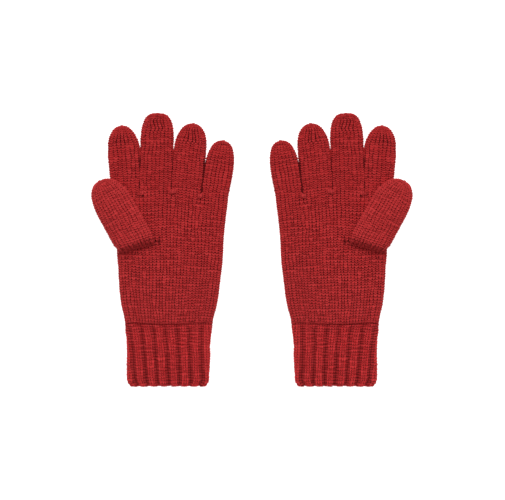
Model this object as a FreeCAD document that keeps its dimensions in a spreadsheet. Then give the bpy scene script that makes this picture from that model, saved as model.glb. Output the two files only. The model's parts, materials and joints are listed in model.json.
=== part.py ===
"""A pair of knitted gloves lying flat, palms up, thumbs folded over the palms.

Frame: +Z up from the table, +Y towards the fingertips, X across the pair. The origin is on the
table, under the middle of the pair. The right glove is the mirror image of the left one.

Each glove has a datum at the middle of its cuff's lower edge. Its own x runs from the thumb side
to the little finger, and its own y from the cuff to the fingertips. Lengths are in millimetres.
"""
import FreeCAD, Part
import os
import Sketcher

doc = FreeCAD.newDocument("KnittedGloves")
sheet = doc.addObject("Spreadsheet::Sheet", "Dims")

DIMENSIONS = {
    # the pair
    "datum_offset": 76.6,       # from the pair's mid-plane to each glove's datum
    "glove_length": 250.0,      # cuff edge to middle fingertip
    "thickness": 12.0,          # of a glove lying flat, both fabrics and the space between
    "wall": 2.2,                # stocking-stitch fabric
    "rib_wall": 2.8,            # ribbed fabric
    "edge_round": 5.0,          # roll of the fabric at the sides
    "clearance": 0.3,           # between pieces that bend against each other
    "overcut": 1.0,             # how far a cut runs past the fabric that it opens
    # ribbed cuff
    "cuff_length": 58.7,
    "cuff_lower_half": 36.5,
    "cuff_upper_half": 39.0,
    "cuff_upper_shift": 1.1,    # the cuff's upper end sits this far towards the little finger
    # round of yarn that links the cuff to the hand
    "link_width": 1.7,
    "link_gap": 0.1,
    # hand: y of each level, and x of the thumb side and the little finger side there
    "hem_level": 61.0, "hem_thumb_side": -39.2, "hem_little_side": 40.6,
    "heel_level": 88.5, "heel_thumb_side": -43.8, "heel_little_side": 46.1,
    "waist_level": 134.0, "waist_thumb_side": -47.6, "waist_little_side": 49.9,
    # fingers: middle of the root, lean towards the little finger in degrees, then the length and
    # three half widths, at the root, where the finger is widest and at the shoulder of its tip
    "index_root_x": -38.65, "index_root_y": 192.0, "index_lean": -4.2, "index_length": 46.2,
    "index_root_half": 13.4, "index_wide_half": 13.6, "index_wide_at": 24.2,
    "index_shoulder_half": 11.0, "index_shoulder_at": 37.0,
    "middle_root_x": -10.55, "middle_root_y": 184.0, "middle_lean": 0.5, "middle_length": 66.0,
    "middle_root_half": 12.7, "middle_wide_half": 13.3, "middle_wide_at": 37.7,
    "middle_shoulder_half": 12.6, "middle_shoulder_at": 56.0,
    "ring_root_x": 16.6, "ring_root_y": 182.0, "ring_lean": 5.0, "ring_length": 58.8,
    "ring_root_half": 12.9, "ring_wide_half": 13.3, "ring_wide_at": 34.3,
    "ring_shoulder_half": 10.5, "ring_shoulder_at": 50.9,
    "little_root_x": 42.8, "little_root_y": 179.0, "little_lean": 7.6, "little_length": 46.8,
    "little_root_half": 12.3, "little_wide_half": 12.4, "little_wide_at": 28.1,
    "little_shoulder_half": 9.8, "little_shoulder_at": 39.0,
    # thumb: middle of its base seam on the palm, then its outline measured from there
    "thumb_root_x": -27.4, "thumb_root_y": 127.6, "thumb_seam_turn": 13.2,
    "thumb_root_half": 18.0, "thumb_thickness": 11.0, "thumb_setback": 1.5,
    "thumb_outer_x": -32.0, "thumb_outer_at": 48.0,
    "thumb_inner_x": -0.4, "thumb_inner_at": 57.6, "thumb_tip_radius": 17.1,
    # opening in the palm and in the underside of the thumb, where the wearer's thumb goes through
    "thumb_hole_half": 13.0, "thumb_hole_near": 4.5, "thumb_hole_far": 16.5,
    "seam_yarn_radius": 1.0,
    # stitch that closes the fabric between two fingers: a post through both sides, with a knot
    "crotch_post_radius": 0.9, "crotch_hole_radius": 1.0, "crotch_setback": 3.6,
    "knot_radius": 2.0, "knot_height": 1.0, "knot_gap": 0.05,
    "index_middle_x": -24.0, "middle_ring_x": 2.9, "ring_little_x": 29.8,
    # yarn drawn through the last stitches of each finger and fastened off inside the tip
    "tip_loop_radius": 2.1, "tip_yarn_radius": 0.7, "tip_gap": 0.6,
}
for row, (alias, amount) in enumerate(DIMENSIONS.items(), start=1):
    sheet.set(f"A{row}", alias)
    sheet.set(f"B{row}", str(amount))
    sheet.setAlias(f"B{row}", alias)
doc.recompute()

FINGERS = ("index", "middle", "ring", "little")
CROTCHES = ("index_middle", "middle_ring", "ring_little")
SIDES = {"left": 1, "right": -1}        # sign of a glove's own x in the pair's frame
SAME = 1e-6                             # heights closer than this are the same, in millimetres
UPRIGHT = FreeCAD.Vector(0, 0, 1)
sub_parts = []                          # in the order in which they are made


def cell(alias):
    """The expression that reads one cell."""
    return f"Dims.{alias}"


def read(alias):
    """A cell's number, for tests that pick out an edge."""
    return float(sheet.get(alias))


def glove_x(side, x):
    """A glove's own x expression, in the pair's frame."""
    return f"{SIDES[side]} * ({x} - Dims.datum_offset)"


def glove_y(y):
    """A glove's own y expression, in the pair's frame."""
    return f"{y} - Dims.glove_length / 2"


def new_body(label):
    """An empty body that is a sub-part."""
    body = doc.addObject("PartDesign::Body", label)
    body.Label = label
    sub_parts.append(body)
    return body


def place(obj, x, y, z, turn="0"):
    """Binds an object's place in the pair's frame, and its turn about the vertical in degrees."""
    obj.Placement.Rotation = FreeCAD.Rotation(UPRIGHT, 1)
    obj.setExpression("Placement.Base.x", x)
    obj.setExpression("Placement.Base.y", y)
    obj.setExpression("Placement.Base.z", z)
    obj.setExpression("Placement.Rotation.Angle", turn)


def plane_sketch(body, name, role):
    """An empty sketch on one of the body's own origin planes."""
    sketch = body.newObject("Sketcher::SketchObject", name)
    plane = next(f for f in body.Origin.OriginFeatures if f.Role == role)
    sketch.AttachmentSupport = [(plane, "")]
    sketch.MapMode = "FlatFace"
    return sketch


def constrain(sketch, constraint, expression):
    """Adds a dimension to a sketch and binds it to the sheet."""
    index = sketch.addConstraint(constraint)
    sketch.setExpression(f"Constraints[{index}]", expression)


def arc_between(start, end, radius):
    """The arc that bulges out of an anticlockwise outline on its way from start to end."""
    chord = end - start
    reach = max(radius ** 2 - (chord.Length / 2) ** 2, 0.0) ** 0.5
    inward = FreeCAD.Vector(-chord.y, chord.x, 0).normalize()
    centre = (start + end) / 2 + inward * reach
    return Part.Arc(start, centre - inward * radius, end)


def closed_outline(sketch, corners):
    """Draws an outline through anticlockwise corners, each (x, y) or (x, y, radius) in expressions
    of the sheet. A corner with a radius leaves by an arc, and one without by a straight line."""
    values = [[float(sketch.evalExpression(e)) for e in corner] for corner in corners]
    points = [FreeCAD.Vector(v[0], v[1], 0) for v in values]
    first = sketch.GeometryCount
    count = len(corners)
    for i, value in enumerate(values):
        start, end = points[i], points[(i + 1) % count]
        curved = len(value) == 3
        edge = arc_between(start, end, value[2]) if curved else Part.LineSegment(start, end)
        sketch.addGeometry(edge)
    for i, corner in enumerate(corners):
        edge, following = first + i, first + (i + 1) % count
        sketch.addConstraint(Sketcher.Constraint("Coincident", edge, 2, following, 1))
        for kind, value, expression in zip(("DistanceX", "DistanceY"), values[i], corner):
            constrain(sketch, Sketcher.Constraint(kind, -1, 1, edge, 1, value), expression)
        if len(corner) == 3:
            constrain(sketch, Sketcher.Constraint("Radius", edge, values[i][2]), corner[2])
    return sketch


def on_side(side, corners):
    """Anticlockwise corners given for the left glove, as anticlockwise corners on this side."""
    count = len(corners)
    if side == "left":
        order = [(corners[i], corners[i]) for i in range(count)]
    else:
        order = [(corners[-1 - i], corners[(count - 2 - i) % count]) for i in range(count)]
    return [(f"{SIDES[side]} * ({at[0]})", at[1], *leaving[2:]) for at, leaving in order]


def pad(body, name, sketch, length):
    """Pads a sketch to both sides of its plane."""
    feature = body.newObject("PartDesign::Pad", name)
    feature.Profile = sketch
    feature.SideType = "Symmetric"
    feature.setExpression("Length", length)
    doc.recompute()
    return feature


def pocket(body, name, sketch, length, way="both"):
    """Cuts a sketch out of the body both ways, up or down, and stops if it takes nothing away."""
    before = body.Shape.Volume
    feature = body.newObject("PartDesign::Pocket", name)
    feature.Profile = sketch
    feature.SideType = "Symmetric" if way == "both" else "One side"
    feature.Reversed = way == "up"
    feature.setExpression("Length", length)
    doc.recompute()
    if not body.Shape.Volume < before - 1.0:
        raise RuntimeError(f"{body.Label}: {name} cuts nothing")


def flat_tube(label, outline, hollow, thickness, wall, is_rolled):
    """A flattened knitted tube: a padded outline with rolled sides, and a hollow inside it.
    is_rolled tells from the middle of an edge whether the fabric rolls round there."""
    body = new_body(label)
    outer = closed_outline(plane_sketch(body, "Outline", "XY_Plane"), outline)
    sleeve = pad(body, "Sleeve", outer, thickness)
    rim = float(body.evalExpression(thickness)) / 2
    names = [
        f"Edge{n}" for n, edge in enumerate(sleeve.Shape.Edges, start=1)
        if all(abs(abs(v.Z) - rim) < SAME for v in edge.Vertexes) and is_rolled(edge.CenterOfMass)
    ]
    fillet = body.newObject("PartDesign::Fillet", "RolledSides")
    fillet.Base = (sleeve, names)
    fillet.setExpression("Radius", cell("edge_round"))
    doc.recompute()
    inner = closed_outline(plane_sketch(body, "Hollow", "XY_Plane"), hollow)
    pocket(body, "Space", inner, f"{thickness} - 2 * {wall}")
    return body


def finger_point(finger, across, along):
    """(x, y) in the glove of a point given in a finger's own directions from its root."""
    lean = f"({cell(finger + '_lean')} * 1 deg)"
    return (
        f"{cell(finger + '_root_x')} + ({across}) * cos({lean}) + ({along}) * sin({lean})",
        f"{cell(finger + '_root_y')} - ({across}) * sin({lean}) + ({along}) * cos({lean})",
    )


def thumb_point(across, along):
    """(x, y) in the glove of a point given in the thumb's own directions from its base seam."""
    turn = f"({cell('thumb_seam_turn')} * 1 deg)"
    return (
        f"{cell('thumb_root_x')} + ({across}) * cos({turn}) - ({along}) * sin({turn})",
        f"{cell('thumb_root_y')} + ({across}) * sin({turn}) + ({along}) * cos({turn})",
    )


def thumb_hole_corners():
    """The four corners of the thumb's opening, in the thumb's own directions."""
    half, near, far = (cell(f"thumb_hole_{part}") for part in ("half", "near", "far"))
    return [(f"-{half}", near), (half, near), (half, far), (f"-{half}", far)]


def crotch_point(crotch):
    """(x, y) in the glove of the stitch between two fingers, just below the lower of their roots."""
    thumbward, littleward = crotch.split("_")
    ends = (
        finger_point(thumbward, cell(f"{thumbward}_root_half"), "0")[1],
        finger_point(littleward, f"-{cell(littleward + '_root_half')}", "0")[1],
    )
    return cell(f"{crotch}_x"), f"min({ends[0]}; {ends[1]}) - Dims.crotch_setback"


def hand_contour(inset, hem, past_root):
    """The hand's outline moved inwards by inset, from its hem to a line past the finger roots."""
    def side_points(side_name, inward):
        return [
            (f"Dims.{level}_{side_name} {inward} {inset}",
             hem if level == "hem" else cell(f"{level}_level"))
            for level in ("hem", "heel", "waist")
        ]

    roots = []
    for finger in reversed(FINGERS):
        for sign, outermost in (("", "little"), ("-", "index")):
            half = cell(f"{finger}_root_half")
            reach = f"({half} - {inset})" if finger == outermost else half
            roots.append(finger_point(finger, f"{sign}{reach}", past_root))
    return side_points("little_side", "-") + roots + side_points("thumb_side", "+")[::-1]


def make_hand(side):
    """The tube of the palm and back, from its hem to the finger roots, with the thumb's opening."""
    hem, knuckles = read("hem_level"), read("little_root_y") - read("thickness")
    body = flat_tube(
        f"{side}_hand",
        on_side(side, hand_contour("0", cell("hem_level"), "-Dims.clearance")),
        on_side(side, hand_contour("Dims.wall", "(Dims.hem_level - Dims.overcut)", "Dims.overcut")),
        cell("thickness"), cell("wall"),
        lambda middle: hem + SAME < middle.y < knuckles,
    )
    window = [thumb_point(x, y) for x, y in thumb_hole_corners()]
    opening = closed_outline(plane_sketch(body, "ThumbHole", "XY_Plane"), on_side(side, window))
    pocket(body, "ThumbOpening", opening, cell("thickness"), way="up")

    holes = plane_sketch(body, "StitchHoles", "XY_Plane")
    for index, crotch in enumerate(CROTCHES):
        x, y = crotch_point(crotch)
        expressions = (f"{SIDES[side]} * ({x})", y, cell("crotch_hole_radius"))
        value = [float(holes.evalExpression(e)) for e in expressions]
        holes.addGeometry(Part.Circle(FreeCAD.Vector(value[0], value[1], 0), UPRIGHT, value[2]))
        for kind, number, expression in zip(("DistanceX", "DistanceY"), value, expressions):
            constrain(holes, Sketcher.Constraint(kind, -1, 1, index, 3, number), expression)
        constrain(holes, Sketcher.Constraint("Radius", index, value[2]), expressions[2])
    pocket(body, "StitchThrough", holes, "Dims.thickness + Dims.overcut")
    place(body, glove_x(side, "0"), glove_y("0"), "Dims.thickness / 2")


def make_cuff(side):
    """The ribbed cuff, open at both ends."""
    def contour(inset, overrun):
        lower, upper = f"Dims.cuff_lower_half - {inset}", f"Dims.cuff_upper_half - {inset}"
        low, high = f"-{overrun}", f"Dims.cuff_length + {overrun}"
        return [(f"-({lower})", low), (lower, low),
                (f"Dims.cuff_upper_shift + {upper}", high),
                (f"Dims.cuff_upper_shift - ({upper})", high)]

    length = read("cuff_length")
    body = flat_tube(
        f"{side}_rib_cuff", on_side(side, contour("0", "0")),
        on_side(side, contour("Dims.rib_wall", "Dims.overcut")),
        cell("thickness"), cell("rib_wall"), lambda middle: SAME < middle.y < length - SAME,
    )
    place(body, glove_x(side, "0"), glove_y("0"), "Dims.thickness / 2")


def make_link_seam(side):
    """The round of yarn that links the cuff to the hand, just inside the hem."""
    def contour(inset, overrun):
        far = f"Dims.hem_level - Dims.link_gap + {overrun}"
        near = f"Dims.hem_level - Dims.link_gap - Dims.link_width - {overrun}"
        thumb_side, little_side = f"Dims.hem_thumb_side + {inset}", f"Dims.hem_little_side - {inset}"
        return [(thumb_side, near), (little_side, near), (little_side, far), (thumb_side, far)]

    hem = read("hem_level")
    body = flat_tube(
        f"{side}_cuff_link_seam", on_side(side, contour("0", "0")),
        on_side(side, contour("Dims.wall", "Dims.overcut")), cell("thickness"), cell("wall"),
        lambda middle: hem - read("link_width") < middle.y < hem - 2 * read("link_gap"),
    )
    place(body, glove_x(side, "0"), glove_y("0"), "Dims.thickness / 2")


def make_finger(side, finger):
    """A finger tube, closed at the tip and open at the root, made along its own y."""
    half, wide, shoulder = (cell(f"{finger}_{w}_half") for w in ("root", "wide", "shoulder"))
    wide_at, shoulder_at = cell(f"{finger}_wide_at"), cell(f"{finger}_shoulder_at")
    length = cell(f"{finger}_length")

    def contour(inset, start):
        reach, rise = f"({shoulder} - {inset})", f"({length} - {inset} - {shoulder_at})"
        tip_radius = f"({reach} ^ 2 + {rise} ^ 2) / (2 * {rise})"
        return [(f"-({half} - {inset})", start), (f"{half} - {inset}", start),
                (f"{wide} - {inset}", wide_at), (reach, shoulder_at, tip_radius),
                (f"-{reach}", shoulder_at), (f"-({wide} - {inset})", wide_at)]

    body = flat_tube(
        f"{side}_{finger}_finger", contour("0", "0"), contour("Dims.wall", "-Dims.overcut"),
        cell("thickness"), cell("wall"), lambda middle: middle.y > SAME,
    )
    place(body, glove_x(side, cell(f"{finger}_root_x")), glove_y(cell(f"{finger}_root_y")),
          "Dims.thickness / 2", f"{-SIDES[side]} * {cell(finger + '_lean')}")


def thumb_height():
    """The z expression of the middle of the thumb's thickness, above the palm."""
    return "Dims.thickness + Dims.clearance + Dims.thumb_thickness / 2"


def make_thumb(side):
    """The thumb tube, lying on the palm, made with its own y running away from its base seam."""
    def contour(inset):
        start = f"Dims.thumb_setback + {inset}"
        tip_radius = f"Dims.thumb_tip_radius - {inset}"
        return [(f"-(Dims.thumb_root_half - {inset})", start),
                (f"Dims.thumb_root_half - {inset}", start),
                (f"Dims.thumb_inner_x - {inset}", "Dims.thumb_inner_at", tip_radius),
                (f"Dims.thumb_outer_x + {inset}", "Dims.thumb_outer_at")]

    setback = read("thumb_setback")
    body = flat_tube(
        f"{side}_thumb", on_side(side, contour("0")), on_side(side, contour("Dims.wall")),
        cell("thumb_thickness"), cell("wall"), lambda middle: middle.y > setback + SAME,
    )
    window = plane_sketch(body, "ThumbHole", "XY_Plane")
    closed_outline(window, on_side(side, thumb_hole_corners()))
    pocket(body, "PalmOpening", window, cell("thumb_thickness"), way="down")
    place(body, glove_x(side, cell("thumb_root_x")), glove_y(cell("thumb_root_y")),
          thumb_height(), f"{SIDES[side]} * Dims.thumb_seam_turn")


def make_thumb_seam(side):
    """The chain of stitches at the thumb's base: the line that the thumb folds over."""
    body = new_body(f"{side}_thumb_base_seam")
    sketch = plane_sketch(body, "YarnSection", "YZ_Plane")
    radius = read("seam_yarn_radius")
    sketch.addGeometry(Part.Circle(FreeCAD.Vector(0, 0, 0), UPRIGHT, radius))
    sketch.addConstraint(Sketcher.Constraint("Coincident", 0, 3, -1, 1))
    constrain(sketch, Sketcher.Constraint("Radius", 0, radius), cell("seam_yarn_radius"))
    pad(body, "Chain", sketch, "2 * Dims.thumb_root_half")
    place(body, glove_x(side, cell("thumb_root_x")), glove_y(cell("thumb_root_y")),
          "Dims.thickness + Dims.seam_yarn_radius + Dims.link_gap",
          f"{SIDES[side]} * Dims.thumb_seam_turn")


def make_crotch_stitch(side, crotch):
    """A stitch through both sides of the fabric below a finger gap, with a knot on the palm."""
    body = new_body(f"{side}_{crotch}_crotch_stitch")
    sketch = plane_sketch(body, "HalfSection", "XZ_Plane")
    low, palm = "Dims.knot_gap", "(Dims.thickness + Dims.knot_gap)"
    closed_outline(sketch, [
        ("0", low), (cell("crotch_post_radius"), low), (cell("crotch_post_radius"), palm),
        (cell("knot_radius"), palm), (cell("knot_radius"), f"{palm} + Dims.knot_height / 2"),
        (cell("crotch_post_radius"), f"{palm} + Dims.knot_height"),
        ("0", f"{palm} + Dims.knot_height"),
    ])
    turned = body.newObject("PartDesign::Revolution", "PostAndKnot")
    turned.Profile = sketch
    turned.ReferenceAxis = (sketch, ["V_Axis"])
    turned.Angle = 360
    doc.recompute()
    x, y = crotch_point(crotch)
    place(body, glove_x(side, x), glove_y(y), "0")


def make_tip_stitch(side, finger):
    """The drawn-up loop of yarn inside a fingertip."""
    loop = doc.addObject("Part::Torus", f"{side}_{finger}_tip_stitch")
    loop.Label = f"{side}_{finger}_tip_stitch"
    loop.setExpression("Radius1", cell("tip_loop_radius"))
    loop.setExpression("Radius2", cell("tip_yarn_radius"))
    depth = "(Dims.wall + Dims.tip_yarn_radius + Dims.tip_gap)"
    if finger == "thumb":
        end = "(Dims.thumb_outer_at + Dims.thumb_inner_at) / 2 + Dims.thumb_tip_radius"
        x, y = thumb_point("(Dims.thumb_outer_x + Dims.thumb_inner_x) / 2", f"{end} - 3 * {depth}")
        height = thumb_height()
    else:
        x, y = finger_point(finger, "0", f"{cell(finger + '_length')} - {depth}")
        height = "Dims.thickness / 2"
    loop.Placement.Rotation = FreeCAD.Rotation(FreeCAD.Vector(1, 0, 0), 90)
    loop.setExpression("Placement.Base.x", glove_x(side, x))
    loop.setExpression("Placement.Base.y", glove_y(y))
    loop.setExpression("Placement.Base.z", height)
    sub_parts.append(loop)


for side in SIDES:
    make_hand(side)
    make_cuff(side)
    make_link_seam(side)
    make_thumb(side)
    make_thumb_seam(side)
    for finger in FINGERS:
        make_finger(side, finger)
    for finger in ("thumb", *FINGERS):
        make_tip_stitch(side, finger)
    for crotch in CROTCHES:
        make_crotch_stitch(side, crotch)
doc.recompute()

for obj in doc.Objects:
    if {"Invalid", "Error"} & set(obj.State):
        raise RuntimeError(f"{obj.Label} failed: {obj.State}")
for obj in sub_parts:
    if obj.Shape.isNull() or not obj.Shape.isValid() or not obj.Shape.Solids:
        raise RuntimeError(f"{obj.Label} is not a valid solid")

os.makedirs("parts", exist_ok=True)
for obj in sub_parts:
    obj.Shape.exportStep(os.path.join("parts", f"{obj.Label}.step"))
    print(f"{obj.Label}: {obj.Shape.Volume:.0f} mm3, {len(obj.Shape.Solids)} solid")
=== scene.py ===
"""The looks of a pair of knitted wool gloves, built stitch by stitch around the CAD model.

Shapes are laid out in the left glove's own coordinates, in millimetres: x from the thumb side to
the little finger, y from the cuff's edge to the fingertips, z up from the table. The right glove is
the same shape mirrored. A glove is a set of tubes. Each tube is a grid whose rows are courses
(rounds of stitches) and whose columns are wales (lines of stitches along the tube), and every cell
of the grid becomes one stitch of raised yarn.
"""
import json
import math

import bpy
import numpy as np
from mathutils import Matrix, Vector


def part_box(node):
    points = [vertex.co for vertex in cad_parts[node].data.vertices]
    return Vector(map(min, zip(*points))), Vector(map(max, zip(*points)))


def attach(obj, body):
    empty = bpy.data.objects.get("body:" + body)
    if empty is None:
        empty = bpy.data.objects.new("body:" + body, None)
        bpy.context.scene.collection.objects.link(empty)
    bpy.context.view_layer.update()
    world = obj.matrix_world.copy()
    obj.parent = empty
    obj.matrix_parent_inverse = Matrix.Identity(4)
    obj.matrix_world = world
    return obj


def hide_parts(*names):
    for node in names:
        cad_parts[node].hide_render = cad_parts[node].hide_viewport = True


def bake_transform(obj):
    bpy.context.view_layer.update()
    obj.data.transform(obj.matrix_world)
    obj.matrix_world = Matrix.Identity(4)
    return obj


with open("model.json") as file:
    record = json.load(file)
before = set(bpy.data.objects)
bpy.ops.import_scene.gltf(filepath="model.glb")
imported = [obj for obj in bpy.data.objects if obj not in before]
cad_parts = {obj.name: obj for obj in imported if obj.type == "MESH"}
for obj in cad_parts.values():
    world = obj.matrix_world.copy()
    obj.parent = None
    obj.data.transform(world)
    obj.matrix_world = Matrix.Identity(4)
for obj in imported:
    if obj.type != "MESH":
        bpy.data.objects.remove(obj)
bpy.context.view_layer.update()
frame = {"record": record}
SIDES = {"left": 1.0, "right": -1.0}
MM = 0.001

# ---- places that come from the frame --------------------------------------------------------
rest_faces = {m["name"]: m["pos_m"] for m in frame["record"]["mounts"]}
DATUM = np.array([rest_faces["left_back_rest"][0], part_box("left_rib_cuff")[0].y, 0.0])


def in_frame(side, place):
    """Places in the left glove's own millimetres, as metres in the frame, on this side."""
    placed = np.asarray(place, float) * MM + DATUM
    placed[..., 0] *= SIDES[side]
    return placed


# ---- sizes of the knit ----------------------------------------------------------------------
COURSE = 2.35               # height of a stitch in the cuff
FINGER_COURSE = 2.0         # height of a stitch in the fingers
WALE = 3.0                  # width of a stitch
PALM_WALES = 32             # across the palm, and across the back
FINGER_WALES = 8            # of each finger's palm side, and of its back
THUMB_WALES = 12
HAND_COURSES = 53
HEM_ROWS = 3                # rows of the hand's grid that are turned inwards at the hem
TIGHTENING = 0.05           # of the hand's courses, from its hem to its finger roots
CUFF_COURSES = 26
CUFF_LINING = 14            # courses seen inside the cuff's mouth
RIBS = 15                   # round the cuff
RIB_WALES = 5               # of one rib: two purl wales, then three plain ones
RIB_HEIGHT = 1.7
YARN_RELIEF = 1.0           # how far the yarn stands out of the fabric
V_SLOPE = 0.62              # how far the V of a stitch reaches up, in courses
STITCH_ACROSS = np.array([0.0, 0.09, 0.2, 0.34, 0.5, 0.66, 0.8, 0.91])    # vertices of a stitch
STITCH_ALONG = np.array([0.0, 0.14, 0.32, 0.5, 0.68, 0.86])
FAINT_SHADE = 0.38                # painted shade between two stitches, beside that in the holes
PLY_TURN = 5.0              # length of yarn in which its two plies go once round
YARN_SIDES = 12

# ---- shape of the tubes ---------------------------------------------------------------------
EDGE_LEVEL = 5.3            # height of the glove's outermost edge above the table
PALM_RISE = 5.0             # from there up to the palm
BACK_DROP = 4.0             # from there down to the back's resting face, without the yarn
HAND_ROLL = 5.0             # width of the roll at the hand's edges
PALM_CROWN = 0.5
# the two edges of the hand: distance from the cuff's edge, and x
THUMB_SIDE = [(57, -38.7), (61, -39.0), (66, -40.2), (72, -41.6), (80, -43.0), (90, -44.0),
              (112, -45.4), (126, -46.5), (150, -48.9), (180, -51.4)]
LITTLE_SIDE = [(57, 39.9), (61, 40.3), (66, 41.5), (72, 43.2), (83, 45.3), (97, 47.0),
               (115, 49.2), (134, 50.1), (152, 51.8), (167, 53.7), (180, 55.2)]
HEM_MIDDLE, HEM_BOW, HEM_TURN = 58.5, 2.6, 2.2      # the hem's height, its bow, its turned corners
HEM_FOLD = ((3.0, 5.0), (2.2, 2.4), (1.1, 0.6))     # of each turned row: how far in, how far up
# the line of the finger roots: the hand's edges and the three crotches
ROOT_LINE = [(-51.4, 180.5), (-24.7, 178.8), (3.2, 179.7), (29.2, 176.1), (55.2, 173.0)]
# of each finger: its tip, half its greatest width, the length of its rounded end and its squareness
FINGERS = {
    "index": ((-42.7, 239.0), 13.9, 22.0, 1.95),
    "middle": ((-9.3, 250.3), 14.6, 26.0, 2.7),
    "ring": ((23.0, 241.0), 14.1, 22.5, 2.0),
    "little": ((50.6, 225.3), 12.9, 20.5, 1.95),
}
# of each finger: how much it widens where fingers touch, and where along it that starts and ends
SWELL = {
    "index": (0.8, 0.0, 33.0),
    "middle": (0.9, 0.0, 33.0),
    "ring": (0.5, 0.0, 33.0),
    "little": (-0.65, 22.0, 40.0),
}
BEND = {"index": 1.1, "middle": 0.0, "ring": -0.7, "little": -0.1}      # of a finger's middle line
# the drawn-in stitches below a fingertip, with painted shade: their lean in wales a course, and their
# courses from it
GATHER_LEAN = {"index": 0.02, "middle": 0.2, "ring": 0.14, "little": 0.1}
GATHER_DEPTH = {"index": (5.5, 11.5), "middle": (5.0, 11.5), "ring": (4.0, 12.0), "little": (1.5, 5.0)}
# the knots between the fingers: middle and width
KNOTS = {
    "index_middle": ((-23.9, 177.0), 3.4),
    "middle_ring": ((4.6, 178.4), 6.4),
    "ring_little": ((29.6, 174.3), 4.6),
}
FINGER_LEVEL, FINGER_RISE = 5.3, 4.7
GAP_DEPTH = 7.0             # over which the fingers part from each other
THUMB_ROOT = ((-45.3, 123.6), (-10.5, 131.8))       # the two ends of the thumb's base seam
THUMB_LEAN = math.radians(28.9)
THUMB_LENGTH, THUMB_HALF, THUMB_ROUND = 69.9, 17.3, 28.0
THUMB_RISE, THUMB_RAMP = 4.5, 8.0                   # half its thickness, reached over this length
THUMB_PLEAT = 4.6           # height of the thumb's first two courses
# the two edges of the cuff: distance from the cuff's own edge, and x
CUFF_THUMB_SIDE = [(0, -36.2), (15, -36.5), (45, -37.0), (52, -37.9), (60, -39.2)]
CUFF_LITTLE_SIDE = [(0, 35.6), (15, 36.4), (25, 37.1), (35, 37.7), (45, 39.0), (52, 39.8),
                    (60, 40.8)]
CUFF_EDGE = 1.6             # height of the cuff's lowest course
CUFF_CORNER, CUFF_TUCK = 7.0, 0.9                   # its rounded corners, and how far they draw in
CUFF_TWIST = (-0.043, -0.113)                       # of the ribs, at the edge and at the hem


def smoothstep(t):
    """0 below 0, 1 above 1, and a smooth step between."""
    t = np.clip(t, 0.0, 1.0)
    return t * t * (3.0 - 2.0 * t)


def smooth_curve(points, at):
    """A smooth curve through (position, value) points, read at the given positions."""
    x, y = np.array(points, float).T
    slope = np.gradient(y, x)
    at = np.clip(np.asarray(at, float), x[0], x[-1])
    i = np.clip(np.searchsorted(x, at) - 1, 0, len(x) - 2)
    width = x[i + 1] - x[i]
    t = (at - x[i]) / width
    return ((2 * t**3 - 3 * t**2 + 1) * y[i] + (t**3 - 2 * t**2 + t) * width * slope[i]
            + (3 * t**2 - 2 * t**3) * y[i + 1] + (t**3 - t**2) * width * slope[i + 1])


def section(width, roll, up, down, crown, turn):
    """(x, z) round a flattened tube. turn runs from 0 at the thumb-side edge over the palm side
    to 1 at the other edge, and back underneath to 2."""
    roll = min(roll, width / 2)
    bend = np.linspace(0, math.pi / 2, 20)
    rise_x, flat_x = roll * (1 - np.cos(bend)), np.linspace(roll, width - roll, 30)[1:-1]
    x = np.concatenate([rise_x, flat_x, width - rise_x[::-1]]) - width / 2
    z = np.concatenate([np.sin(bend), np.ones_like(flat_x), np.sin(bend)[::-1]])
    turn = np.asarray(turn, float) % 2.0
    halves = []
    for height, share in ((z * up + crown * (1 - (2 * x / width) ** 2), turn), (-z * down, 2 - turn)):
        steps = np.hypot(np.diff(x), np.diff(height))
        length = np.concatenate([[0], np.cumsum(steps)]) / steps.sum()
        share = np.clip(share, 0, 1)
        halves.append((np.interp(share, length, x), np.interp(share, length, height)))
    upper = turn <= 1
    return np.where(upper, halves[0][0], halves[1][0]), np.where(upper, halves[0][1], halves[1][1])


def sway(x, y, size):
    """Gentle unevenness of soft fabric, in millimetres."""
    waves = ((31.0, 17.0, 0.3), (-23.0, 41.0, 1.9), (57.0, -29.0, 4.1), (13.0, 71.0, 2.2))
    return size * sum(np.sin(x / a + y / b + c) for a, b, c in waves) / 2


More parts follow.
